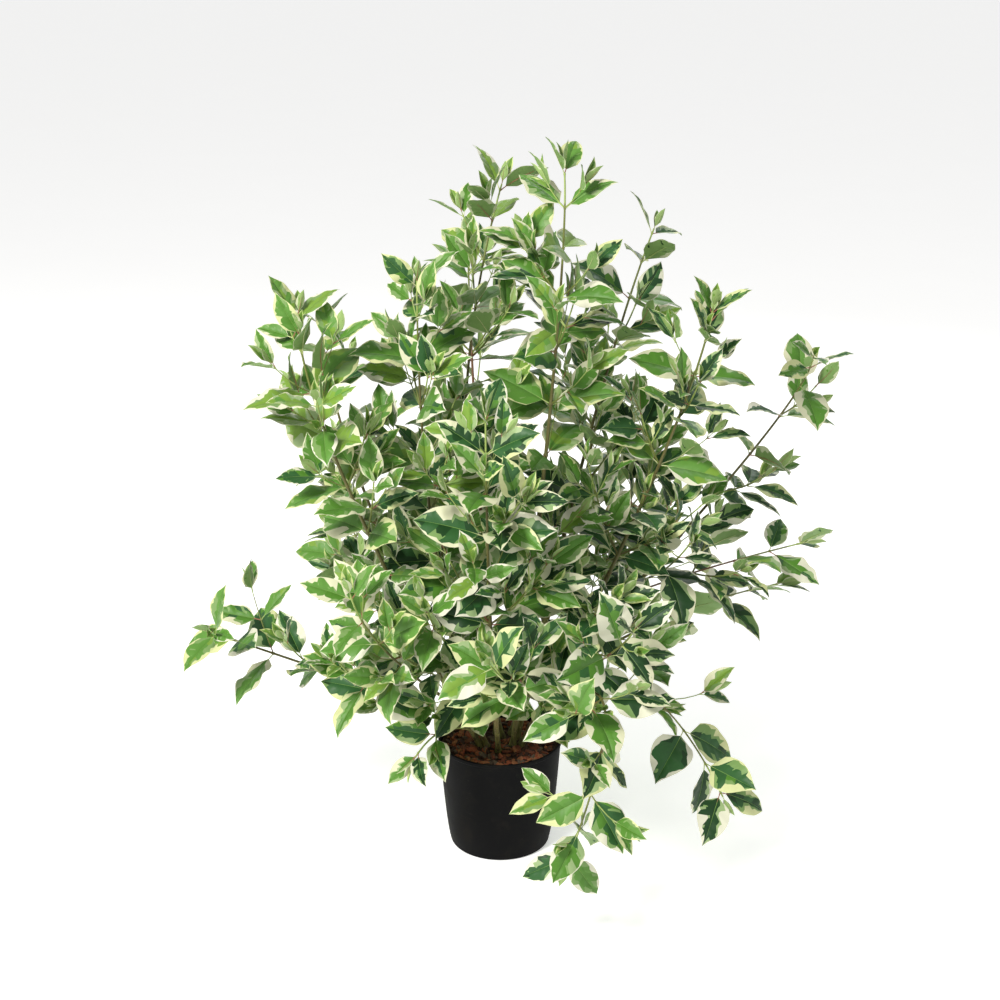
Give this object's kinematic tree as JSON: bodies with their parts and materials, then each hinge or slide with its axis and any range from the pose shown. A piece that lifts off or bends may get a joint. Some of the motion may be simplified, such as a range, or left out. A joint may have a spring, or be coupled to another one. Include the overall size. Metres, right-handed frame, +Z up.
{
  "type": "potted variegated dogwood shrub",
  "caption": "Round, open deciduous shrub with many upright thin stems and white-edged green leaves, growing in a plain black round nursery pot.",
  "frame": {"origin": "middle of the flat underside of the pot, where it stands on the ground", "axes": "+Z up, -Y towards the front from which the picture was taken, +X to the right in that view"},
  "size_m": [1.0124, 0.8944, 1.1076],
  "materials": {
    "pot": "matt black moulded plastic with faint dust and scuffs",
    "soil": "moist reddish-brown bark compost, rough",
    "bark": "smooth olive-brown to reddish bark with a satin sheen",
    "foliage": "soft green leaves with grey-green patches and creamy white margins, satin"
  },
  "bodies": {
    "root": {"pot": "pot", "soil": "soil", "stem_middle": "bark", "stem_middle_back": "bark", "stem_left_middle": "bark", "stem_right": "bark", "stem_right_back": "bark", "stem_left": "bark", "stem_back": "bark", "stem_back_left": "bark", "stem_back_right": "bark", "stem_front": "bark", "bough_left_low": "bark", "bough_right_far": "bark", "bough_right_mid": "bark", "bough_right_low": "bark", "bough_right_hanging": "bark", "bough_front_hanging": "bark", "bough_left_rim": "bark", "bough_front_left": "bark", "bough_front_right": "bark", "bough_back_low": "bark", "bough_back_left_low": "bark", "bough_back_right_low": "bark", "foliage_stem_middle": "foliage", "foliage_stem_middle_back": "foliage", "foliage_stem_left_middle": "foliage", "foliage_stem_right": "foliage", "foliage_stem_right_back": "foliage", "foliage_stem_left": "foliage", "foliage_stem_back": "foliage", "foliage_stem_back_left": "foliage", "foliage_stem_back_right": "foliage", "foliage_stem_front": "foliage", "foliage_bough_left_low": "foliage", "foliage_bough_right_far": "foliage", "foliage_bough_right_mid": "foliage", "foliage_bough_right_low": "foliage", "foliage_bough_right_hanging": "foliage", "foliage_bough_front_hanging": "foliage", "foliage_bough_left_rim": "foliage", "foliage_bough_front_left": "foliage", "foliage_bough_front_right": "foliage", "foliage_bough_back_low": "foliage", "foliage_bough_back_left_low": "foliage", "foliage_bough_back_right_low": "foliage", "foliage_side_stem_middle": "foliage", "foliage_side_stem_left_middle": "foliage", "foliage_side_stem_right": "foliage", "foliage_side_stem_right_back": "foliage", "foliage_side_stem_left": "foliage", "foliage_side_stem_back": "foliage", "foliage_side_stem_back_left": "foliage", "foliage_side_stem_back_right": "foliage", "foliage_side_stem_front": "foliage", "foliage_side_bough_left_low": "foliage", "foliage_side_bough_right_far": "foliage", "foliage_side_bough_front_hanging": "foliage"}
  },
  "joints": []
}
